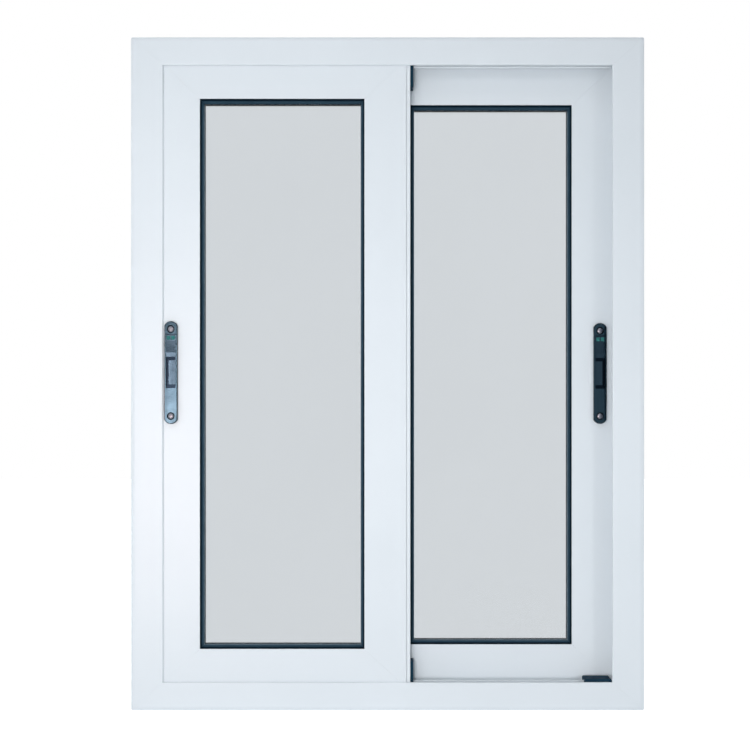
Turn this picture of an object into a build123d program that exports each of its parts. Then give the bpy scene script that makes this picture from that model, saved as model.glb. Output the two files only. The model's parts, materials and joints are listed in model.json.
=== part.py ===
"""Two-sash aluminium sliding window, closed.

X runs to the right as seen from the room, Y runs from the room to the outside and Z runs up.
The origin is the middle of the sill's underside. All sizes are in millimetres.
The left sash runs on the inner track and the right sash on the outer track.
"""

import os

from build123d import *

# Overall size of the frame
WIDTH = 915.0
HEIGHT = 1200.0

# Depth of the tracks and sashes
SASH_DEPTH = 36.0
SASH_SPACE = 8.0
LIP_SPACE = 2.0
LIP_WALL = 3.5
FRAME_DEPTH = 2 * (LIP_WALL + LIP_SPACE + SASH_DEPTH) + SASH_SPACE
TRACK_OFFSET = (SASH_DEPTH + SASH_SPACE) / 2

# Frame profile, heights measured from the outside of the frame on the sill and head
SILL_FACE = 49.7
JAMB_FACE = 57.0
CHANNEL_FLOOR = 24.5
RAIL_TOP = 49.2
JAMB_RAIL_TOP = 50.0
RAIL_STEM = 2.4
RAIL_BULB_RADIUS = 2.3
FRAME_WALL = 1.6
ROUND_OVER_WIDTH = 7.0
ROUND_OVER_FALL = 1.6
LIP_ROUND = 2.6
EDGE_ROUND = 0.8
FRAME_CORNER = 3.5

# Holes in the frame
FIXING_HOLE_RADIUS = 3.25
FIXING_HOLE_SPACING = 800.0
WEEP_LENGTH = 30.0
WEEP_HEIGHT = 5.0
WEEP_SPACING = 500.0
WEEP_LEVEL = 10.0

# Sash profile, heights measured from the outer edge of a sash rail
RAIL_FACE = 70.0
STILE_FACE = 75.0
RAIL_INSERT = 11.2
STILE_INSERT = 10.0
MEETING_OVERLAP = 67.0
SASH_WALL = 1.8
GROOVE_DEPTH = 28.5
GLAZING_POCKET = 18.0
LEG_RETURN = 4.0
FACE_ROUND = 0.8

# Glazing
GLASS_SETBACK = 12.0
PANE = 5.0
CAVITY = 6.0
GLASS_BITE = 10.0
SPACER_EDGE = 3.0
SPACER_WIDTH = 8.0
GASKET_NOSE = 7.0
GASKET_FOOT = 7.0
GASKET_STEP = 2.2
GASKET_LIP = 4.0
GASKET_BULGE = 0.7
GASKET_SETBACK = 0.8
BEAD_DEPTH = 6.0
BEAD_WALL = 1.6

# Interlock on the meeting stiles
INTERLOCK_COVER = 7.0
INTERLOCK_GROOVE = 0.6
INTERLOCK_GROOVE_DEPTH = 8.0
INTERLOCK_REACH = 6.0
INTERLOCK_ROUND = 1.0
INTERLOCK_WALL = 1.4
INTERLOCK_SETBACK = 0.8
INTERLOCK_CLIP = 10.0
INTERLOCK_ARM_SPACE = 0.4
HOOK_PLACE = 4.0
HOOK_LIP = 6.5
HOOK_SPACE = 1.6
CAP_WIDTH = 5.6
CAP_LENGTH = 41.0
CAP_SETBACK = 8.0
CAP_ROUND = 1.5

# Rollers under each sash
WHEEL_RADIUS = 9.0
WHEEL_TREAD_RADIUS = 7.5
WHEEL_WIDTH = 8.0
PIN_RADIUS = 2.0
HOUSING_LENGTH = 60.0
HOUSING_WIDTH = 20.0
HOUSING_LIFT = 1.6
ROLLER_INSET = 110.0

# Latches
LATCH_WIDTH = 23.4
LATCH_HEIGHT = 183.0
LATCH_DEPTH = 8.0
LATCH_LEVEL = 602.0
LATCH_END_RISE = 7.6
LATCH_EDGE_SPACE = 2.7
LATCH_BEVEL = 1.4
SCREW_SPACING = 155.0
SCREW_SEAT_RADIUS = 6.8
SCREW_HEAD_RADIUS = 5.0
SCREW_SINK = 2.4

# Pocket of a latch, from its lower end: slot, finger pull, slot and thumb slide
POCKET_START = 63.8
POCKET_WIDTH = 17.6
POCKET_DEPTH = 5.0
POCKET_SLOT = 6.5
POCKET_END = 1.5
PULL_HEIGHT = 43.0
PULL_GROOVE = 4.4
PULL_FLOOR = 1.2
PULL_CREST = 4.6
PULL_EDGE = 4.2
SLIDE_HEIGHT = 39.0
SLIDE_LIP = 7.5
SLIDE_LIP_EDGE = 4.2
SLIDE_CREST = 5.8
SLIDE_TOP = 10.5
SLIDE_DEPTH = 4.4
RIB_GROOVES = 5
RIB_PITCH = 2.8
RIB_GROOVE_WIDTH = 1.1
RIB_FLOOR = 3.8
MARK_WIDTH = 6.4
MARK_HEIGHT = 7.0
MARK_SPACING = 8.2
MARK_SINK = 0.6
MARK_STAND = 0.3

# Track stops
STOP_LENGTH = 47.4
STOP_RISE = 4.4
STOP_ROUND = 2.5

# Clearances
MITRE_GAP = 0.2
FIT = 0.1
RUNNING = 0.5

# Derived places
FRAME_BOX = (-WIDTH / 2, 0.0, WIDTH / 2, HEIGHT)
DAYLIGHT_EDGE = WIDTH / 2 - JAMB_FACE
SASH_OUTER_EDGE = DAYLIGHT_EDGE + STILE_INSERT
SASH_BOTTOM = SILL_FACE - RAIL_INSERT
SASH_TOP = HEIGHT - SASH_BOTTOM
LEFT_SASH_BOX = (-SASH_OUTER_EDGE, SASH_BOTTOM, MEETING_OVERLAP / 2, SASH_TOP)
RIGHT_SASH_BOX = (-MEETING_OVERLAP / 2, SASH_BOTTOM, SASH_OUTER_EDGE, SASH_TOP)
LEFT_SASH_FRONT = -TRACK_OFFSET - SASH_DEPTH / 2
RIGHT_SASH_FRONT = TRACK_OFFSET - SASH_DEPTH / 2
INTERLOCK_END = RAIL_TOP + RUNNING - INTERLOCK_REACH
GLASS_DEPTH = 2 * PANE + CAVITY
BEAD_FRONT = SASH_DEPTH - BEAD_DEPTH
WEB_EDGE = RAIL_FACE - GLAZING_POCKET
PULL_START = LATCH_LEVEL - LATCH_HEIGHT / 2 + POCKET_START + POCKET_SLOT
SLIDE_START = PULL_START + PULL_HEIGHT + POCKET_SLOT
POCKET_HEIGHT = 2 * POCKET_SLOT + PULL_HEIGHT + SLIDE_HEIGHT + POCKET_END
SLIDE_WIDTH = POCKET_WIDTH - 2 * RUNNING
SIDES = ("bottom", "top", "left", "right")


def polygon(*points):
    """Flat face with straight edges."""
    return make_face(Polyline(*points, close=True).edges())


def block(x, y, z):
    """Box between two values on each axis."""
    size = (x[1] - x[0], y[1] - y[0], z[1] - z[0])
    middle = ((x[0] + x[1]) / 2, (y[0] + y[1]) / 2, (z[0] + z[1]) / 2)
    return Pos(*middle) * Box(*size)


def flat(across, up):
    """Rectangle between two values on each axis of a section."""
    size = (across[1] - across[0], up[1] - up[0])
    return Pos((across[0] + across[1]) / 2, (up[0] + up[1]) / 2) * Rectangle(*size)


def side_plane(box, side, front):
    """Plane of a section: first axis to the outside, second axis towards the middle of the box."""
    x0, z0, x1, z1 = box
    starts = {"bottom": (x0, z0), "top": (x1, z1), "left": (x0, z1), "right": (x1, z0)}
    ways = {"bottom": (1, 0, 0), "top": (-1, 0, 0), "left": (0, 0, -1), "right": (0, 0, 1)}
    start_x, start_z = starts[side]
    return Plane(origin=(start_x, front, start_z), x_dir=(0, 1, 0), z_dir=ways[side])


def side_length(box, side):
    """Length of one side of a box given as low X, low Z, high X, high Z."""
    x0, z0, x1, z1 = box
    return x1 - x0 if side in ("bottom", "top") else z1 - z0


def mitre_block(box, side, stile, rail, gap):
    """Solid that keeps the part of one side between its two mitre cuts."""
    x0, z0, x1, z1 = box
    low, high = -0.1, 1.4
    if side in ("bottom", "top"):
        edge, inward = (z0, rail) if side == "bottom" else (z1, -rail)
        points = [
            (x0 + low * stile + gap, edge + low * inward),
            (x1 - low * stile - gap, edge + low * inward),
            (x1 - high * stile - gap, edge + high * inward),
            (x0 + high * stile + gap, edge + high * inward),
        ]
    else:
        edge, inward = (x0, stile) if side == "left" else (x1, -stile)
        points = [
            (edge + low * inward, z0 + low * rail + gap),
            (edge + low * inward, z1 - low * rail - gap),
            (edge + high * inward, z1 - high * rail - gap),
            (edge + high * inward, z0 + high * rail + gap),
        ]
    outline = polygon(*[(x, -FRAME_DEPTH, z) for x, z in points])
    return extrude(outline, amount=2 * FRAME_DEPTH, dir=(0, 1, 0))


def mitred_bar(section, box, side, stile, rail, front):
    """Extrude a section along one side of a box and mitre both ends."""
    plane = side_plane(box, side, front)
    bar = extrude(plane * section, amount=side_length(box, side), dir=plane.z_dir)
    return bar & mitre_block(box, side, stile, rail, MITRE_GAP / 2)


def frame_section(face, rail_top):
    """Two-track frame profile; heights other than the rails' follow the face width so that the mitres meet."""
    stretch = face / SILL_FACE
    floor = CHANNEL_FLOOR * stretch
    round_over = ROUND_OVER_WIDTH * stretch
    depth = FRAME_DEPTH
    outline = Polyline(
        (ROUND_OVER_FALL, 0),
        (depth, 0),
        (depth, face),
        (depth - LIP_WALL, face),
        (depth - LIP_WALL, floor),
        (LIP_WALL, floor),
        (LIP_WALL, face),
        (0, face),
        (0, round_over),
    )
    curve = ThreePointArc((0, round_over), (ROUND_OVER_FALL / 4, round_over / 2), (ROUND_OVER_FALL, 0))
    section = make_face([*outline.edges(), *curve.edges()])
    lip_corners = section.vertices().group_by(Axis.Y)[-1].sort_by(Axis.X)
    section = fillet([lip_corners[0], lip_corners[-1]], LIP_ROUND)
    section = fillet(section.vertices().group_by(Axis.Y)[0], EDGE_ROUND)
    near_rail = depth / 2 - TRACK_OFFSET
    far_rail = depth / 2 + TRACK_OFFSET
    bulb_level = rail_top - RAIL_BULB_RADIUS
    for rail in (near_rail, far_rail):
        section += flat((rail - RAIL_STEM / 2, rail + RAIL_STEM / 2), (floor - FRAME_WALL, bulb_level))
        section += Pos(rail, bulb_level) * Circle(RAIL_BULB_RADIUS)
    chamber_top = floor - FRAME_WALL
    section -= polygon(
        (ROUND_OVER_FALL + FRAME_WALL, FRAME_WALL),
        (near_rail - FRAME_WALL / 2, FRAME_WALL),
        (near_rail - FRAME_WALL / 2, chamber_top),
        (FRAME_WALL, chamber_top),
        (FRAME_WALL, round_over),
    )
    section -= flat((near_rail + FRAME_WALL / 2, far_rail - FRAME_WALL / 2), (FRAME_WALL, chamber_top))
    section -= flat((far_rail + FRAME_WALL / 2, depth - FRAME_WALL), (FRAME_WALL, chamber_top))
    return section


def corner_cutter(x, z, turn):
    """Solid that rounds one outer corner of the frame."""
    corner = flat((-FRAME_CORNER, 1), (-FRAME_CORNER, 1))
    corner -= Pos(-FRAME_CORNER, -FRAME_CORNER) * Circle(FRAME_CORNER)
    return extrude(Plane.XZ * Pos(x, z) * Rot(0, 0, turn) * corner, amount=FRAME_DEPTH, both=True)


def frame_piece(side):
    """One mitred side of the frame with its rounded corners and holes."""
    level = side in ("bottom", "top")
    section = frame_section(SILL_FACE, RAIL_TOP) if level else frame_section(JAMB_FACE, JAMB_RAIL_TOP)
    piece = mitred_bar(section, FRAME_BOX, side, JAMB_FACE, SILL_FACE, -FRAME_DEPTH / 2)
    corners = ((WIDTH / 2, HEIGHT), (-WIDTH / 2, HEIGHT), (-WIDTH / 2, 0), (WIDTH / 2, 0))
    for count, (x, z) in enumerate(corners):
        piece -= corner_cutter(x, z, 90 * count)
    if side == "bottom":
        for x in (-WEEP_SPACING / 2, WEEP_SPACING / 2):
            slot = SlotOverall(WEEP_LENGTH, WEEP_HEIGHT)
            plane = Plane(origin=(x, FRAME_DEPTH / 2 + 1, WEEP_LEVEL), x_dir=(1, 0, 0), z_dir=(0, -1, 0))
            piece -= extrude(plane * slot, amount=1 + 2 * FRAME_WALL)
    if side in ("left", "right"):
        middle = (-WIDTH + JAMB_FACE) / 2 if side == "left" else (WIDTH - JAMB_FACE) / 2
        for step in (-0.5, 0.5):
            height = HEIGHT / 2 + step * FIXING_HOLE_SPACING
            hole = Rot(0, 90, 0) * Cylinder(FIXING_HOLE_RADIUS, JAMB_FACE + 2)
            piece -= Pos(middle, 0, height) * hole
    return piece


def sash_section(face):
    """Sash profile with a track groove, a chamber and a glazing pocket."""
    stretch = face / RAIL_FACE
    groove = GROOVE_DEPTH * stretch
    web = WEB_EDGE * stretch
    section = polygon(
        (0, 0),
        (SASH_WALL, 0),
        (SASH_WALL, groove),
        (SASH_DEPTH - SASH_WALL, groove),
        (SASH_DEPTH - SASH_WALL, 0),
        (SASH_DEPTH, 0),
        (SASH_DEPTH, web),
        (SASH_WALL, web),
        (SASH_WALL, face - SASH_WALL),
        (LEG_RETURN, face - SASH_WALL),
        (LEG_RETURN, face),
        (0, face),
    )
    front_corner = section.vertices().group_by(Axis.Y)[-1].sort_by(Axis.X)[0]
    section = fillet(front_corner, FACE_ROUND)
    inside = (SASH_WALL, SASH_DEPTH - SASH_WALL)
    return section - flat(inside, (groove + SASH_WALL, web - SASH_WALL))


def bead_section(face):
    """Glazing bead on the outside of a sash."""
    web = WEB_EDGE * face / RAIL_FACE
    return polygon(
        (SASH_DEPTH, web + FIT),
        (SASH_DEPTH, face),
        (BEAD_FRONT, face),
        (BEAD_FRONT, face - BEAD_WALL),
        (SASH_DEPTH - BEAD_WALL, face - BEAD_WALL),
        (SASH_DEPTH - BEAD_WALL, web + FIT),
    )


def gasket_section(face, glass, seat, tip):
    """Gasket between the glass and a leg: a steep wall from the tip and a round lip on the glass."""
    way = 1 if glass > seat else -1
    on_glass = glass - way * FIT
    on_seat = seat + way * FIT
    start = (tip, face + FIT)
    step = (on_glass - way * GASKET_LIP, face + GASKET_STEP)
    end = (on_glass, face + GASKET_NOSE)
    middle = ((step[0] + end[0]) / 2 - way * GASKET_BULGE, (step[1] + end[1]) / 2 + GASKET_BULGE)
    lip = ThreePointArc(step, middle, end)
    foot = Polyline(
        end,
        (on_glass, face - GASKET_FOOT),
        (on_seat, face - GASKET_FOOT),
        (on_seat, face + FIT),
        start,
        step,
    )
    return make_face([*lip.edges(), *foot.edges()])


def four_sides(section_maker, box, front):
    """The same section round all four sides of a sash, as four solids."""
    pieces = []
    for side in SIDES:
        face = RAIL_FACE if side in ("bottom", "top") else STILE_FACE
        pieces.append(mitred_bar(section_maker(face), box, side, STILE_FACE, RAIL_FACE, front))
    return Compound([solid for piece in pieces for solid in piece.solids()])


def inner_gasket_section(face):
    """Gasket seen from the room."""
    return gasket_section(face, GLASS_SETBACK, LEG_RETURN, GASKET_SETBACK)


def outer_gasket_section(face):
    """Gasket seen from outside."""
    glass_back = GLASS_SETBACK + GLASS_DEPTH
    return gasket_section(face, glass_back, BEAD_FRONT, SASH_DEPTH - GASKET_SETBACK)


def inset_box(box, bite):
    """X and Z range of the glazing that reaches into the pocket by the bite."""
    x0, z0, x1, z1 = box
    x = (x0 + STILE_FACE - bite, x1 - STILE_FACE + bite)
    z = (z0 + RAIL_FACE - bite, z1 - RAIL_FACE + bite)
    return x, z


def pane(box, front):
    """One sheet of glass."""
    x, z = inset_box(box, GLASS_BITE)
    return block(x, (front, front + PANE), z)


def spacer(box, front):
    """Bar round the edge of the cavity."""
    outside_x, outside_z = inset_box(box, GLASS_BITE - SPACER_EDGE)
    inside_x, inside_z = inset_box(box, GLASS_BITE - SPACER_EDGE - SPACER_WIDTH)
    depth = (front + FIT, front + CAVITY - FIT)
    return block(outside_x, depth, outside_z) - block(inside_x, depth, inside_z)


def over_rails(shape):
    """Let the ends of a piece of the left sash's interlock over the inner rails of the sill and head."""
    half = RAIL_BULB_RADIUS + RUNNING
    x = (-WIDTH / 2, WIDTH / 2)
    y = (-TRACK_OFFSET - half, -TRACK_OFFSET + half)
    top = RAIL_TOP + RUNNING
    return shape - block(x, y, (0, top)) - block(x, y, (HEIGHT - top, HEIGHT))


def interlock():
    """Cover and hook of the left sash's meeting stile."""
    edge = LEFT_SASH_BOX[2]
    front = LEFT_SASH_FRONT
    wall = INTERLOCK_WALL
    cover = edge + INTERLOCK_COVER
    arm_front = front + SASH_DEPTH + INTERLOCK_ARM_SPACE
    hook_back = front + SASH_DEPTH + SASH_SPACE - HOOK_SPACE
    clip_front = front + INTERLOCK_GROOVE_DEPTH
    clip_back = front + SASH_DEPTH - SASH_WALL - FIT
    face = front + INTERLOCK_SETBACK
    section = flat((cover - wall, cover), (face, arm_front + wall))
    section += flat((edge + INTERLOCK_GROOVE, cover), (face, face + wall))
    section += flat((edge - INTERLOCK_CLIP, cover), (clip_front, clip_front + wall))
    section += flat((edge - INTERLOCK_CLIP, cover), (clip_back - wall, clip_back))
    section += flat((HOOK_PLACE, cover), (arm_front, arm_front + wall))
    section += flat((HOOK_PLACE, HOOK_PLACE + wall), (arm_front, hook_back))
    section += flat((HOOK_PLACE - HOOK_LIP, HOOK_PLACE + wall), (hook_back - wall, hook_back))
    section = fillet(section.vertices().sort_by_distance((cover, face))[0], INTERLOCK_ROUND)
    profile = extrude(Pos(0, 0, INTERLOCK_END) * section, amount=HEIGHT - 2 * INTERLOCK_END, dir=(0, 0, 1))
    return over_rails(profile)


def interlock_cap(bottom):
    """Black end cap beside the cover of the left sash's interlock."""
    x = LEFT_SASH_BOX[2] + INTERLOCK_COVER + FIT
    front = LEFT_SASH_FRONT + CAP_SETBACK
    back = LEFT_SASH_FRONT + SASH_DEPTH + INTERLOCK_ARM_SPACE + INTERLOCK_WALL
    cap = block((x, x + CAP_WIDTH), (front, back), (bottom, bottom + CAP_LENGTH))
    outer_edges = cap.edges().filter_by(Axis.Z).group_by(Axis.X)[-1]
    return over_rails(fillet(outer_edges, CAP_ROUND))


def interlock_caps():
    """Both end caps of the left sash's interlock."""
    levels = (INTERLOCK_END, HEIGHT - INTERLOCK_END - CAP_LENGTH)
    return Compound([interlock_cap(level).solid() for level in levels])


def turned(shape):
    """Half turn about the upright axis, from the left sash's meeting stile to the right sash's."""
    return shape.rotate(Axis.Z, 180)


def roller_places(box):
    """X of the two rollers of a sash."""
    return (box[0] + ROLLER_INSET, box[2] - ROLLER_INSET)


def roller_wheel(x, y):
    """Grooved wheel standing on the sill's rail."""
    axle = RAIL_TOP + FIT + WHEEL_TREAD_RADIUS
    half = WHEEL_WIDTH / 2
    bore = PIN_RADIUS + FIT
    groove = RAIL_BULB_RADIUS + FIT
    tread = RAIL_BULB_RADIUS / 2 + FIT
    section = polygon(
        (bore, -half),
        (WHEEL_RADIUS, -half),
        (WHEEL_RADIUS, -groove),
        (WHEEL_TREAD_RADIUS, -tread),
        (WHEEL_TREAD_RADIUS, tread),
        (WHEEL_RADIUS, groove),
        (WHEEL_RADIUS, half),
        (bore, half),
    )
    wheel = revolve(Plane.XZ * section, Axis.Z)
    return Pos(x, y, axle) * Rot(90, 0, 0) * wheel


def roller_housing(x, y):
    """Carriage that carries one wheel under the sash's groove."""
    axle = RAIL_TOP + FIT + WHEEL_TREAD_RADIUS
    top = SASH_BOTTOM + GROOVE_DEPTH - FIT
    half_length = HOUSING_LENGTH / 2
    half_width = HOUSING_WIDTH / 2
    slot_length = WHEEL_RADIUS + RUNNING
    slot_width = WHEEL_WIDTH / 2 + RUNNING
    level = (RAIL_TOP + HOUSING_LIFT, top)
    housing = block((x - half_length, x + half_length), (y - half_width, y + half_width), level)
    housing -= block(
        (x - slot_length, x + slot_length),
        (y - slot_width, y + slot_width),
        (level[0] - 1, top + 1),
    )
    return housing + Pos(x, y, axle) * Rot(90, 0, 0) * Cylinder(PIN_RADIUS, HOUSING_WIDTH - 2)


def pair(maker, box, track):
    """Two solids under one sash."""
    return Compound([maker(x, track).solid() for x in roller_places(box)])


def latch_outline(inset):
    """Front view of a latch with arched ends, centred on the origin and drawn in by the inset."""
    half = LATCH_WIDTH / 2 - inset
    top = LATCH_HEIGHT / 2 - inset
    shoulder = LATCH_HEIGHT / 2 - LATCH_END_RISE
    edges = [
        Line((-half, -shoulder), (-half, shoulder)),
        ThreePointArc((-half, shoulder), (0, top), (half, shoulder)),
        Line((half, shoulder), (half, -shoulder)),
        ThreePointArc((half, -shoulder), (0, -top), (-half, -shoulder)),
    ]
    return make_face(edges)


def latch_plane(x, face, level):
    """Plane on a sash face that points towards the room."""
    return Plane(origin=(x, face, level), x_dir=(1, 0, 0), z_dir=(0, -1, 0))


def latch_body(x, face):
    """Latch case with countersunk screw seats and a pocket for the pull and the slide."""
    rim = Pos(0, 0, LATCH_DEPTH - LATCH_BEVEL) * latch_outline(0)
    front = Pos(0, 0, LATCH_DEPTH) * latch_outline(LATCH_BEVEL)
    body = extrude(latch_outline(0), amount=LATCH_DEPTH - LATCH_BEVEL) + loft([rim, front], ruled=True)
    pocket_middle = POCKET_START + POCKET_HEIGHT / 2 - LATCH_HEIGHT / 2
    body -= Pos(0, pocket_middle, LATCH_DEPTH) * Box(POCKET_WIDTH, POCKET_HEIGHT, 2 * POCKET_DEPTH)
    for step in (-0.5, 0.5):
        seat = Pos(0, step * SCREW_SPACING, LATCH_DEPTH - SCREW_SINK / 2)
        body -= seat * Cone(SCREW_HEAD_RADIUS, SCREW_SEAT_RADIUS, SCREW_SINK)
    return latch_plane(x, face - FIT, LATCH_LEVEL) * body


def pocket_plane(x, face, level):
    """Plane on the floor of a latch's pocket that points towards the room."""
    return latch_plane(x, face - 2 * FIT - LATCH_DEPTH + POCKET_DEPTH, level)


def latch_pull(x, face, hand):
    """Finger pull with a deep groove on its frame side and a raised pad on its glass side."""
    half = SLIDE_WIDTH / 2
    profile = [
        (-half, 0),
        (-half, PULL_FLOOR),
        (PULL_GROOVE - half, PULL_FLOOR),
        (PULL_GROOVE - half, PULL_CREST),
        (half, PULL_EDGE),
        (half, 0),
    ]
    section = Plane.XZ * polygon(*[(hand * across, out) for across, out in profile])
    pull = extrude(section, amount=PULL_HEIGHT / 2, both=True)
    return pocket_plane(x, face, PULL_START + PULL_HEIGHT / 2) * pull


def mark_places():
    """Places of the lock marks on a thumb slide."""
    level = SLIDE_HEIGHT - SLIDE_TOP / 2
    return [(-MARK_SPACING / 2, level), (MARK_SPACING / 2, level)]


def latch_slide(x, face):
    """Thumb slide with a lip at its lower end, ribs along its length and seats for the lock marks."""
    section = polygon(
        (0, 0),
        (0, SLIDE_LIP_EDGE),
        (SLIDE_LIP, SLIDE_CREST),
        (SLIDE_HEIGHT - SLIDE_TOP, SLIDE_DEPTH),
        (SLIDE_HEIGHT, SLIDE_DEPTH),
        (SLIDE_HEIGHT, 0),
    )
    slide = extrude(Plane.YZ * section, amount=SLIDE_WIDTH / 2, both=True)
    for count in range(RIB_GROOVES):
        across = (count - (RIB_GROOVES - 1) / 2) * RIB_PITCH
        slide -= block(
            (across - RIB_GROOVE_WIDTH / 2, across + RIB_GROOVE_WIDTH / 2),
            (SLIDE_LIP, SLIDE_HEIGHT - SLIDE_TOP),
            (RIB_FLOOR, SLIDE_CREST + 1),
        )
    for across, level in mark_places():
        slide -= Pos(across, level, SLIDE_DEPTH) * Box(MARK_WIDTH, MARK_HEIGHT, 2 * MARK_SINK)
    return pocket_plane(x, face, SLIDE_START) * slide


def latch_mark(x, face):
    """Pair of lock marks let into the thumb slide."""
    thickness = MARK_SINK + MARK_STAND - FIT
    marks = []
    for across, level in mark_places():
        middle = SLIDE_DEPTH + MARK_STAND - thickness / 2
        mark = Box(MARK_WIDTH - 2 * FIT, MARK_HEIGHT - 2 * FIT, thickness)
        marks.append(pocket_plane(x, face, SLIDE_START) * Pos(across, level, middle) * mark)
    return Compound([mark.solid() for mark in marks])


def track_stop():
    """Stop in the inner track beside the right jamb, straddling the sill's rail."""
    x = (DAYLIGHT_EDGE - STOP_LENGTH, DAYLIGHT_EDGE)
    y = (LEFT_SASH_FRONT + FIT, LEFT_SASH_FRONT + SASH_DEPTH - FIT)
    top = SILL_FACE + STOP_RISE
    stop = block(x, y, (CHANNEL_FLOOR + FIT, top))
    stop = fillet(stop.faces().sort_by(Axis.Z)[-1].edges(), STOP_ROUND)
    slot = RAIL_BULB_RADIUS + FIT
    rail = (-TRACK_OFFSET - slot, -TRACK_OFFSET + slot)
    return stop - block((x[0] - 1, x[1] + 1), rail, (CHANNEL_FLOOR, RAIL_TOP + FIT))


def sash_pieces(name, box, front, lock_side):
    """Profiles, glazing, rollers and latch of one sash."""
    meeting_side = "right" if lock_side == "left" else "left"
    names = {
        "bottom": "bottom_rail",
        "top": "top_rail",
        lock_side: "lock_stile",
        meeting_side: "meeting_stile",
    }
    pieces = {}
    for side, label in names.items():
        face = RAIL_FACE if side in ("bottom", "top") else STILE_FACE
        pieces[label] = mitred_bar(sash_section(face), box, side, STILE_FACE, RAIL_FACE, front)
    glass = front + GLASS_SETBACK
    track = front + SASH_DEPTH / 2
    hand = 1 if lock_side == "left" else -1
    latch_x = -hand * (DAYLIGHT_EDGE - LATCH_EDGE_SPACE - LATCH_WIDTH / 2)
    pieces["inner_pane"] = pane(box, glass)
    pieces["outer_pane"] = pane(box, glass + PANE + CAVITY)
    pieces["spacer"] = spacer(box, glass + PANE)
    pieces["inner_gasket"] = four_sides(inner_gasket_section, box, front)
    pieces["outer_gasket"] = four_sides(outer_gasket_section, box, front)
    pieces["glazing_beads"] = four_sides(bead_section, box, front)
    pieces["roller_wheels"] = pair(roller_wheel, box, track)
    pieces["roller_housings"] = pair(roller_housing, box, track)
    pieces["latch_body"] = latch_body(latch_x, front)
    pieces["latch_pull"] = latch_pull(latch_x, front, hand)
    pieces["latch_slide"] = latch_slide(latch_x, front)
    pieces["latch_mark"] = latch_mark(latch_x, front)
    return {f"{name}_{label}": piece for label, piece in pieces.items()}


def window_pieces():
    """Every piece of the window by name."""
    pieces = {
        "frame_sill": frame_piece("bottom"),
        "frame_head": frame_piece("top"),
        "frame_left_jamb": frame_piece("left"),
        "frame_right_jamb": frame_piece("right"),
        "inner_track_stop": track_stop(),
        "outer_track_stop": turned(track_stop()),
        "left_sash_interlock": interlock(),
        "right_sash_interlock": turned(interlock()),
        "left_sash_interlock_caps": interlock_caps(),
        "right_sash_interlock_caps": turned(interlock_caps()),
    }
    pieces.update(sash_pieces("left_sash", LEFT_SASH_BOX, LEFT_SASH_FRONT, "left"))
    pieces.update(sash_pieces("right_sash", RIGHT_SASH_BOX, RIGHT_SASH_FRONT, "right"))
    return pieces


os.makedirs("parts", exist_ok=True)
for node, piece in window_pieces().items():
    export_step(piece, f"parts/{node}.step")
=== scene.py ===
"""Looks of the two-sash sliding window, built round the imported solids. All sizes are in metres."""

import json
import math

import bmesh
import bpy
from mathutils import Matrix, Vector


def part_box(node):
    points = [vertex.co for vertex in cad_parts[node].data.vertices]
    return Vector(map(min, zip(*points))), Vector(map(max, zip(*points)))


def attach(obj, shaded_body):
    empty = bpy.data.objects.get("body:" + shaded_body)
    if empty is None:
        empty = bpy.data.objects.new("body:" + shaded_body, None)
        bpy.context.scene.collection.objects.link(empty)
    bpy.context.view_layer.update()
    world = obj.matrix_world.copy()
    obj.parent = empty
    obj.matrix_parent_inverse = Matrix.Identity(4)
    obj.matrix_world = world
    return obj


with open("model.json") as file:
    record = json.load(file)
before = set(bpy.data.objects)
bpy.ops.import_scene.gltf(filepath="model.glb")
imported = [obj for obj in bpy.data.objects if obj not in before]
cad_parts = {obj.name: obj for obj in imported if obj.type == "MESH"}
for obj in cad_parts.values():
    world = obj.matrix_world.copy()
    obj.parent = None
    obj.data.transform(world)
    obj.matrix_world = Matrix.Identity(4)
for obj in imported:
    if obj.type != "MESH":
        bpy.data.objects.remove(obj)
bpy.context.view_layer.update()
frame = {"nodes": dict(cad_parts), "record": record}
nodes = frame["nodes"]
scene = bpy.context.scene

# Camera, from the photograph's vanishing point and the two sashes' sizes
CAMERA_DISTANCE = 2.154
CAMERA_HEIGHT = 0.522
CAMERA_REACH = 50.0
FRAME_FACE_Y = -0.0455
FOCAL_PIXELS = 1208.8
PICTURE_PIXELS = 750.0
SENSOR_MM = 36.0
HORIZON_PIXEL = 417.5
MIDDLE_PIXEL = 387.65

# Soft boxes: name, place, target, width, height and watts
LIGHTS = (
    ("front", (-0.15, -2.30, 0.66), (0.0, 0.0, 0.6), 0.12, 0.30, 1.8),
    ("front_left", (-0.37, -2.10, 0.70), (0.0, 0.0, 0.6), 0.12, 0.30, 6.8),
    ("front_left_high", (-0.50, -1.75, 1.50), (-0.1, 0.0, 0.8), 0.12, 0.30, 2.7),
    ("front_floor", (-0.14, -1.90, 0.12), (0.0, 0.0, 0.2), 0.12, 0.20, 8.6),
    ("left", (-0.63, -1.40, 0.48), (-0.386, 0.0, 0.53), 0.08, 0.45, 1.6),
    ("left_side", (-1.20, -0.90, 0.70), (-0.4, 0.0, 0.65), 0.30, 0.80, 1.0),
    ("overhead", (-0.50, -1.20, 2.30), (-0.2, 0.0, 0.1), 0.60, 0.40, 2.2),
    ("right", (1.05, -1.25, 0.30), (0.35, 0.0, 0.3), 0.12, 0.25, 1.7),
    ("back_fill", (0.70, 2.60, 2.30), (0.0, 0.0, 0.6), 1.80, 1.20, 48.0),
)

# Warm cards that only shiny surfaces show, for the left latch's plate, its pull and its slide
CARD_COLOUR = (1.0, 0.70, 0.62)
CARDS = (
    ("plate_card", (-0.625, -1.40, 0.315), (-0.386, 0.0, 0.53), 0.10, 0.59, 5.0),
    ("pull_card", (-0.575, -1.40, 0.680), (-0.386, 0.0, 0.58), 0.05, 0.16, 1.25),
    ("slide_card", (-0.625, -1.40, 0.920), (-0.386, 0.0, 0.64), 0.10, 0.14, 0.45),
)

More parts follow.
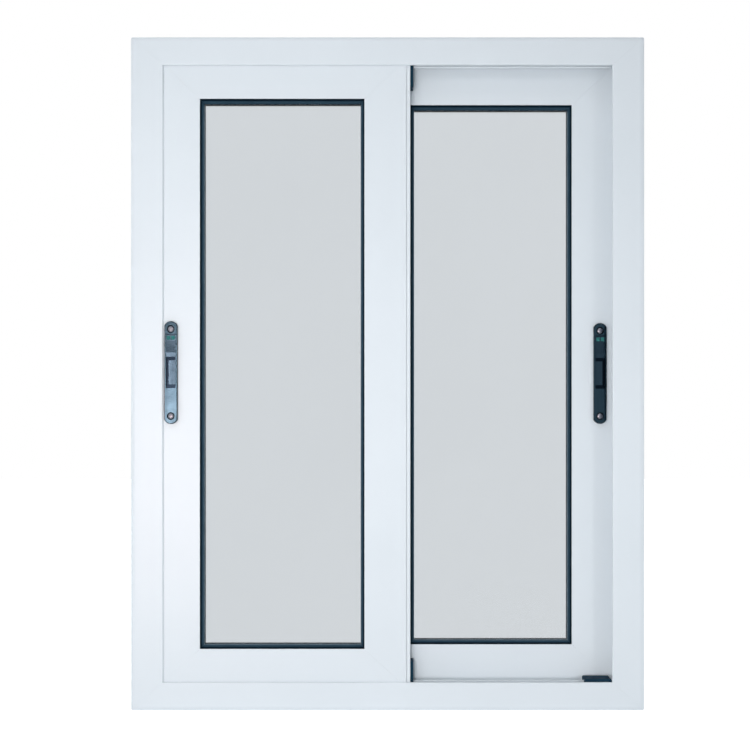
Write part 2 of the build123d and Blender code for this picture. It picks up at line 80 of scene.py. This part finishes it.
# Light from all round, the floor's own colour to other surfaces and to the camera, its glow and its size
AMBIENT = (0.273, 0.296, 0.317, 1.0)
FLOOR_BOUNCE = (0.72, 0.74, 0.76, 1.0)
FLOOR_TONE = (0.8, 0.8, 0.8, 1.0)
FLOOR_GLOW = 0.88
FLOOR_HALF = 8.0
WHITE = (1.0, 1.0, 1.0, 1.0)
BLACK = (0.0, 0.0, 0.0, 1.0)

# Two colours of each finish, which a noise mixes
COAT_COLOURS = ((0.780, 0.828, 0.868), (0.800, 0.846, 0.886))
# Gasket wall colours are painted shade: the outer wall is kept much darker than the lip, as it stands in
# shadow
GASKET_SHADED_WALL_COLOURS = ((0.002, 0.011, 0.021), (0.004, 0.015, 0.026))
GASKET_LIP_COLOURS = ((0.022, 0.050, 0.076), (0.029, 0.061, 0.090))
# Painted highlight along the gasket lip where it meets the glass
GASKET_EDGE_HIGHLIGHT_COLOURS = ((0.205, 0.275, 0.325), (0.240, 0.310, 0.365))
GLASS_COLOURS = ((0.783, 0.805, 0.823), (0.789, 0.811, 0.829))
SPACER_COLOURS = ((0.60, 0.61, 0.62), (0.72, 0.73, 0.74))
LATCH_COLOURS = ((0.016, 0.034, 0.050), (0.024, 0.047, 0.066))
SLIDE_COLOURS = ((0.017, 0.033, 0.049), (0.024, 0.045, 0.065))
PLASTIC_COLOURS = ((0.010, 0.035, 0.062), (0.014, 0.044, 0.073))
NYLON_COLOURS = ((0.66, 0.66, 0.62), (0.74, 0.74, 0.70))
MARK_COLOURS = ((0.036, 0.160, 0.155), (0.046, 0.185, 0.180))
SCREW_COLOURS = ((0.20, 0.21, 0.25), (0.30, 0.31, 0.36))

# Painted shade: near-black colour a latch's face goes to down in its recesses
RECESS_SHADE_COLOUR = (0.004, 0.008, 0.014, 1.0)

# Lowest and highest roughness of each finish
COAT_ROUGHNESS = (0.34, 0.44)
GASKET_ROUGHNESS = (0.5, 0.7)
SPACER_ROUGHNESS = (0.35, 0.5)
LATCH_ROUGHNESS = (0.13, 0.19)
SLIDE_ROUGHNESS = (0.15, 0.22)
PLASTIC_ROUGHNESS = (0.45, 0.6)
SCREW_ROUGHNESS = (0.22, 0.36)

# Specular level of the dull finishes, and the glass's index of refraction
GASKET_SPECULAR = 0.04
PLASTIC_SPECULAR = 0.02
GLASS_INDEX = 1.5

# Values of a noise between which colour and roughness change
NOISE_LOW = 0.3
NOISE_HIGH = 0.7

# Brushing on the latches is drawn out along the height
BRUSHING_STRETCH = (1.0, 1.0, 0.02)

# Where painted shade and painted highlight change, as shares of a node's own depth and, for the gasket's
# top bar, of its height
LATCH_SHADE = (0.10, 0.25)
SLIDE_SHADE = (0.35, 0.65)
# Shares over which the gasket wall's painted shade gives way to the lip's own colour, inside and outside
INNER_LIP_SHADE = (0.55, 0.68)
OUTER_LIP_SHADE = (0.45, 0.32)
# Shares over which the painted highlight pales the gasket lip towards the glass, inside and outside
INNER_EDGE_HIGHLIGHT = (0.72, 1.0)
OUTER_EDGE_HIGHLIGHT = (0.40, 0.0)
# Share of height above which the gasket's top bar, facing down away from the light, keeps no painted
# highlight
GASKET_UNLIT_TOP = (0.980, 0.986)

# Latch screws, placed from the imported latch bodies
SCREW_RADIUS = 0.0048
SCREW_SPACING = 0.155
SCREW_SINK = 0.0024
SCREW_SET = 0.0006
SCREW_DOME = 0.0013
SCREW_RINGS = 18
SCREW_TURNS = 64

# Cross recess in a screw head
CROSS_HALF_WIDTH = 0.00055
CROSS_REACH = 0.0023
CROSS_DEPTH = 0.0011

SIDES = ("left", "right")


def add_camera():
    """Level camera in front of the window."""
    camera = bpy.data.cameras.new("camera")
    camera.sensor_fit = "HORIZONTAL"
    camera.sensor_width = SENSOR_MM
    camera.lens = FOCAL_PIXELS / PICTURE_PIXELS * SENSOR_MM
    camera.shift_x = -(MIDDLE_PIXEL - PICTURE_PIXELS / 2) / PICTURE_PIXELS
    camera.shift_y = (HORIZON_PIXEL - PICTURE_PIXELS / 2) / PICTURE_PIXELS
    camera.clip_end = CAMERA_REACH
    holder = bpy.data.objects.new("camera", camera)
    holder.location = (0.0, FRAME_FACE_Y - CAMERA_DISTANCE, CAMERA_HEIGHT)
    holder.rotation_euler = (math.pi / 2, 0.0, 0.0)
    scene.collection.objects.link(holder)
    scene.camera = holder


def add_area_light(name, place, target, width, height, power):
    """Soft box aimed at a point, which neither the camera nor a reflection shows."""
    light = bpy.data.lights.new(name, "AREA")
    light.shape = "RECTANGLE"
    light.size = width
    light.size_y = height
    light.energy = power
    holder = bpy.data.objects.new(name, light)
    holder.location = place
    holder.rotation_euler = (Vector(target) - Vector(place)).to_track_quat("-Z", "Y").to_euler()
    holder.visible_camera = False
    holder.visible_transmission = False
    holder.visible_glossy = False
    scene.collection.objects.link(holder)
    return holder


def add_card(name, place, target, width, height, power):
    """Card that shows only in the latches, screws and other shiny surfaces."""
    holder = add_area_light(name, place, target, width, height, power)
    holder.data.color = CARD_COLOUR
    holder.visible_glossy = True
    holder.visible_diffuse = False


def new_material(name):
    """Material with a Principled shader linked to its output."""
    material = bpy.data.materials.new(name)
    material.use_nodes = True
    tree = material.node_tree
    shader = tree.nodes["Principled BSDF"]
    return material, tree, shader


def object_noise(tree, scale, detail, stretch=(1.0, 1.0, 1.0)):
    """Noise in the object's own metres."""
    place = tree.nodes.new("ShaderNodeTexCoord")
    mapping = tree.nodes.new("ShaderNodeMapping")
    mapping.inputs["Scale"].default_value = stretch
    noise = tree.nodes.new("ShaderNodeTexNoise")
    noise.inputs["Scale"].default_value = scale
    noise.inputs["Detail"].default_value = detail
    tree.links.new(place.outputs["Object"], mapping.inputs["Vector"])
    tree.links.new(mapping.outputs["Vector"], noise.inputs["Vector"])
    return noise


def two_colours(tree, noise, colours):
    """Two colours mixed by a noise."""
    ramp = tree.nodes.new("ShaderNodeValToRGB")
    for element, position, colour in zip(ramp.color_ramp.elements, (NOISE_LOW, NOISE_HIGH), colours):
        element.position = position
        element.color = (*colour, 1.0)
    tree.links.new(noise.outputs["Fac"], ramp.inputs["Fac"])
    return ramp.outputs["Color"]


def colour_from(tree, noise, colours, socket):
    """Feed a socket with two colours mixed by a noise."""
    tree.links.new(two_colours(tree, noise, colours), socket)


def share_range(tree, axis, limits):
    """Zero to one between two shares of a node's own size along an axis."""
    place = tree.nodes.new("ShaderNodeTexCoord")
    parts = tree.nodes.new("ShaderNodeSeparateXYZ")
    share = tree.nodes.new("ShaderNodeMapRange")
    share.inputs["From Min"].default_value = limits[0]
    share.inputs["From Max"].default_value = limits[1]
    tree.links.new(place.outputs["Generated"], parts.inputs["Vector"])
    tree.links.new(parts.outputs[axis], share.inputs["Value"])
    return share.outputs["Result"]


def range_from(tree, noise, limits, socket):
    """Feed a socket with a value that moves between two limits with a noise."""
    moved = tree.nodes.new("ShaderNodeMapRange")
    moved.inputs["From Min"].default_value = NOISE_LOW
    moved.inputs["From Max"].default_value = NOISE_HIGH
    moved.inputs["To Min"].default_value = limits[0]
    moved.inputs["To Max"].default_value = limits[1]
    tree.links.new(noise.outputs["Fac"], moved.inputs["Value"])
    tree.links.new(moved.outputs["Result"], socket)


def bump_from(tree, shader, layers):
    """Bump built from noises, each given as noise, strength and height in metres."""
    previous = None
    for noise, strength, height in layers:
        bump = tree.nodes.new("ShaderNodeBump")
        bump.inputs["Strength"].default_value = strength
        bump.inputs["Distance"].default_value = height
        tree.links.new(noise.outputs["Fac"], bump.inputs["Height"])
        if previous is not None:
            tree.links.new(previous.outputs["Normal"], bump.inputs["Normal"])
        previous = bump
    tree.links.new(previous.outputs["Normal"], shader.inputs["Normal"])


def larger(tree, first, second):
    """The larger of two values."""
    node = tree.nodes.new("ShaderNodeMath")
    node.operation = "MAXIMUM"
    tree.links.new(first, node.inputs[0])
    tree.links.new(second, node.inputs[1])
    return node.outputs[0]


def mixed_colour(tree, factor, first, second):
    """Two colours mixed by a factor; each is a colour or comes from another node."""
    node = tree.nodes.new("ShaderNodeMix")
    node.data_type = "RGBA"
    for socket, colour in (("A", first), ("B", second)):
        if isinstance(colour, tuple):
            node.inputs[socket].default_value = colour
        else:
            tree.links.new(colour, node.inputs[socket])
    tree.links.new(factor, node.inputs["Factor"])
    return node.outputs["Result"]


def white_coat():
    """Satin powder coat with a fine orange-peel texture."""
    material, tree, shader = new_material("white_powder_coat")
    cloud = object_noise(tree, scale=5.0, detail=3.0)
    grain = object_noise(tree, scale=900.0, detail=2.0)
    peel = object_noise(tree, scale=260.0, detail=1.0)
    colour_from(tree, cloud, COAT_COLOURS, shader.inputs["Base Color"])
    range_from(tree, grain, COAT_ROUGHNESS, shader.inputs["Roughness"])
    bump_from(tree, shader, [(peel, 0.25, 0.00006), (grain, 0.2, 0.00003)])
    return material


def gasket_rubber(name, lip_shade, highlight_share):
    """Black rubber with a dull bloom; painted shade darkens its outer wall, and a painted highlight
    pales the lip towards the glass, left off the downward-facing top bar.
    """
    material, tree, shader = new_material(name)
    bloom = object_noise(tree, scale=40.0, detail=3.0)
    grain = object_noise(tree, scale=1500.0, detail=2.0)
    shaded_wall = two_colours(tree, bloom, GASKET_SHADED_WALL_COLOURS)
    lip = two_colours(tree, bloom, GASKET_LIP_COLOURS)
    glass_edge_highlight = two_colours(tree, bloom, GASKET_EDGE_HIGHLIGHT_COLOURS)
    # Painted shade: the wall side is darkened, the lip keeps the rubber's own colour
    shaded_body = mixed_colour(tree, share_range(tree, "Y", lip_shade), shaded_wall, lip)
    # Painted highlight: the lip pales towards the glass
    colour = mixed_colour(tree, share_range(tree, "Y", highlight_share), shaded_body, glass_edge_highlight)
    # The top bar faces down away from the light, so it keeps no painted highlight
    colour = mixed_colour(tree, share_range(tree, "Z", GASKET_UNLIT_TOP), colour, shaded_body)
    tree.links.new(colour, shader.inputs["Base Color"])
    range_from(tree, bloom, GASKET_ROUGHNESS, shader.inputs["Roughness"])
    shader.inputs["Specular IOR Level"].default_value = GASKET_SPECULAR
    bump_from(tree, shader, [(grain, 0.3, 0.00004)])
    return material


def window_glass():
    """Lightly tinted float glass with a very slight wave."""
    material, tree, shader = new_material("window_glass")
    wave = object_noise(tree, scale=3.0, detail=1.0)
    colour_from(tree, wave, GLASS_COLOURS, shader.inputs["Base Color"])
    shader.inputs["Transmission Weight"].default_value = 1.0
    shader.inputs["Roughness"].default_value = 0.0
    shader.inputs["IOR"].default_value = GLASS_INDEX
    bump_from(tree, shader, [(wave, 0.02, 0.0005)])
    return material


def spacer_metal():
    """Dull aluminium bar."""
    material, tree, shader = new_material("spacer_metal")
    streak = object_noise(tree, scale=300.0, detail=2.0)
    colour_from(tree, streak, SPACER_COLOURS, shader.inputs["Base Color"])
    range_from(tree, streak, SPACER_ROUGHNESS, shader.inputs["Roughness"])
    shader.inputs["Metallic"].default_value = 1.0
    bump_from(tree, shader, [(streak, 0.1, 0.00003)])
    return material


def latch_coat(name, colours, roughness, shaded):
    """Blue-black metallic finish with fine upright brushing, and painted shade darkening it down in its
    recesses.
    """
    material, tree, shader = new_material(name)
    brushing = object_noise(tree, scale=900.0, detail=3.0, stretch=BRUSHING_STRETCH)
    cloud = object_noise(tree, scale=60.0, detail=3.0)
    face = two_colours(tree, brushing, colours)
    # Painted shade: the face colour darkens to near black with depth into the recesses
    colour = mixed_colour(tree, share_range(tree, "Y", shaded), face, RECESS_SHADE_COLOUR)
    tree.links.new(colour, shader.inputs["Base Color"])
    range_from(tree, cloud, roughness, shader.inputs["Roughness"])
    shader.inputs["Metallic"].default_value = 1.0
    bump_from(tree, shader, [(brushing, 0.12, 0.00003)])
    return material


def moulded_plastic(name, colours):
    """Moulded plastic with a fine spark texture."""
    material, tree, shader = new_material(name)
    cloud = object_noise(tree, scale=80.0, detail=3.0)
    grain = object_noise(tree, scale=1200.0, detail=2.0)
    colour_from(tree, cloud, colours, shader.inputs["Base Color"])
    range_from(tree, cloud, PLASTIC_ROUGHNESS, shader.inputs["Roughness"])
    shader.inputs["Specular IOR Level"].default_value = PLASTIC_SPECULAR
    bump_from(tree, shader, [(grain, 0.35, 0.00006)])
    return material


def screw_steel():
    """Stainless screw heads."""
    material, tree, shader = new_material("screw_steel")
    streak = object_noise(tree, scale=900.0, detail=2.0)
    colour_from(tree, streak, SCREW_COLOURS, shader.inputs["Base Color"])
    range_from(tree, streak, SCREW_ROUGHNESS, shader.inputs["Roughness"])
    shader.inputs["Metallic"].default_value = 1.0
    bump_from(tree, shader, [(streak, 0.1, 0.00002)])
    return material


def paint(node, material):
    """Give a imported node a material."""
    mesh = nodes[node].data
    mesh.materials.clear()
    mesh.materials.append(material)


def screw_head(name, place, material):
    """Domed screw head with a cross recess, facing the room."""
    mesh = bmesh.new()
    rows = []
    for ring in range(1, SCREW_RINGS + 1):
        radius = SCREW_RADIUS * ring / SCREW_RINGS
        height = SCREW_DOME * (1 - (radius / SCREW_RADIUS) ** 2)
        row = []
        for turn in range(SCREW_TURNS):
            angle = 2 * math.pi * turn / SCREW_TURNS
            x = radius * math.cos(angle)
            z = radius * math.sin(angle)
            in_cross = min(abs(x), abs(z)) < CROSS_HALF_WIDTH and radius < CROSS_REACH
            row.append(mesh.verts.new((x, CROSS_DEPTH if in_cross else -height, z)))
        rows.append(row)
    rim = [mesh.verts.new((v.co.x, SCREW_SINK - SCREW_SET, v.co.z)) for v in rows[-1]]
    rows.append(rim)
    for inner, outer in zip(rows, rows[1:]):
        for turn in range(SCREW_TURNS):
            following = (turn + 1) % SCREW_TURNS
            mesh.faces.new((inner[turn], inner[following], outer[following], outer[turn]))
    mesh.faces.new(rows[0])
    bmesh.ops.recalc_face_normals(mesh, faces=mesh.faces)
    data = bpy.data.meshes.new(name)
    mesh.to_mesh(data)
    mesh.free()
    data.materials.append(material)
    piece = bpy.data.objects.new(name, data)
    piece.location = place
    scene.collection.objects.link(piece)
    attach(piece, "root")


def add_latch_screws(material):
    """Two screws on each latch body."""
    for side in SIDES:
        low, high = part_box(f"{side}_sash_latch_body")
        middle = (low + high) / 2
        for label, step in (("lower", -0.5), ("upper", 0.5)):
            place = (middle.x, low.y + SCREW_SET, middle.z + step * SCREW_SPACING)
            screw_head(f"{side}_latch_{label}_screw", place, material)


def add_floor():
    """Pale floor that looks white to the camera, in mirrors and through glass, and keeps the shadow."""
    mesh = bmesh.new()
    bmesh.ops.create_grid(mesh, x_segments=1, y_segments=1, size=FLOOR_HALF)
    data = bpy.data.meshes.new("floor")
    mesh.to_mesh(data)
    mesh.free()
    floor = bpy.data.objects.new("floor", data)
    scene.collection.objects.link(floor)
    material, tree, shader = new_material("pale_floor")
    path = tree.nodes.new("ShaderNodeLightPath")
    passed = larger(tree, path.outputs["Is Glossy Ray"], path.outputs["Is Transmission Ray"])
    tone = mixed_colour(tree, path.outputs["Is Camera Ray"], FLOOR_BOUNCE, FLOOR_TONE)
    tone = mixed_colour(tree, passed, tone, BLACK)
    glow = tree.nodes.new("ShaderNodeMath")
    glow.operation = "MULTIPLY_ADD"
    glow.inputs[1].default_value = FLOOR_GLOW
    tree.links.new(tone, shader.inputs["Base Color"])
    tree.links.new(path.outputs["Is Camera Ray"], glow.inputs[0])
    tree.links.new(passed, glow.inputs[2])
    tree.links.new(glow.outputs[0], shader.inputs["Emission Strength"])
    shader.inputs["Emission Color"].default_value = WHITE
    shader.inputs["Roughness"].default_value = 0.9
    shader.inputs["Specular IOR Level"].default_value = 0.0
    data.materials.append(material)


def add_world():
    """White background to the eye, softer and bluer light on the object."""
    world = bpy.data.worlds.new("studio")
    world.use_nodes = True
    tree = world.node_tree
    background = tree.nodes["Background"]
    path = tree.nodes.new("ShaderNodeLightPath")
    passed = larger(tree, path.outputs["Is Glossy Ray"], path.outputs["Is Transmission Ray"])
    seen = larger(tree, path.outputs["Is Camera Ray"], passed)
    tree.links.new(mixed_colour(tree, seen, AMBIENT, WHITE), background.inputs["Color"])
    background.inputs["Strength"].default_value = 1.0
    scene.world = world


add_camera()

coat = white_coat()
inner_rubber = gasket_rubber("inner_gasket_rubber", INNER_LIP_SHADE, INNER_EDGE_HIGHLIGHT)
outer_rubber = gasket_rubber("outer_gasket_rubber", OUTER_LIP_SHADE, OUTER_EDGE_HIGHLIGHT)
glass = window_glass()
bar = spacer_metal()
black_coat = latch_coat("latch_coat", LATCH_COLOURS, LATCH_ROUGHNESS, LATCH_SHADE)
slide_coat = latch_coat("slide_coat", SLIDE_COLOURS, SLIDE_ROUGHNESS, SLIDE_SHADE)
black_plastic = moulded_plastic("black_plastic", PLASTIC_COLOURS)
nylon = moulded_plastic("roller_nylon", NYLON_COLOURS)
green = moulded_plastic("lock_mark", MARK_COLOURS)
steel = screw_steel()

# Every node gets its slot's material; slides, pulls and outer gaskets then get their own
SLOT_MATERIALS = {
    "white_coat": coat,
    "black_coat": black_coat,
    "clear_glass": glass,
    "black_gasket": inner_rubber,
    "spacer_metal": bar,
    "black_plastic": black_plastic,
    "white_nylon": nylon,
    "green_plastic": green,
}
for part in frame["record"]["subparts"]:
    paint(part["node"], SLOT_MATERIALS[part["material_slot"]])
for side in SIDES:
    paint(f"{side}_sash_latch_slide", slide_coat)
    paint(f"{side}_sash_latch_pull", slide_coat)
    paint(f"{side}_sash_outer_gasket", outer_rubber)

add_latch_screws(steel)
add_floor()
add_world()
for light in LIGHTS:
    add_area_light(*light)
for card in CARDS:
    add_card(*card)

scene.view_settings.view_transform = "Standard"
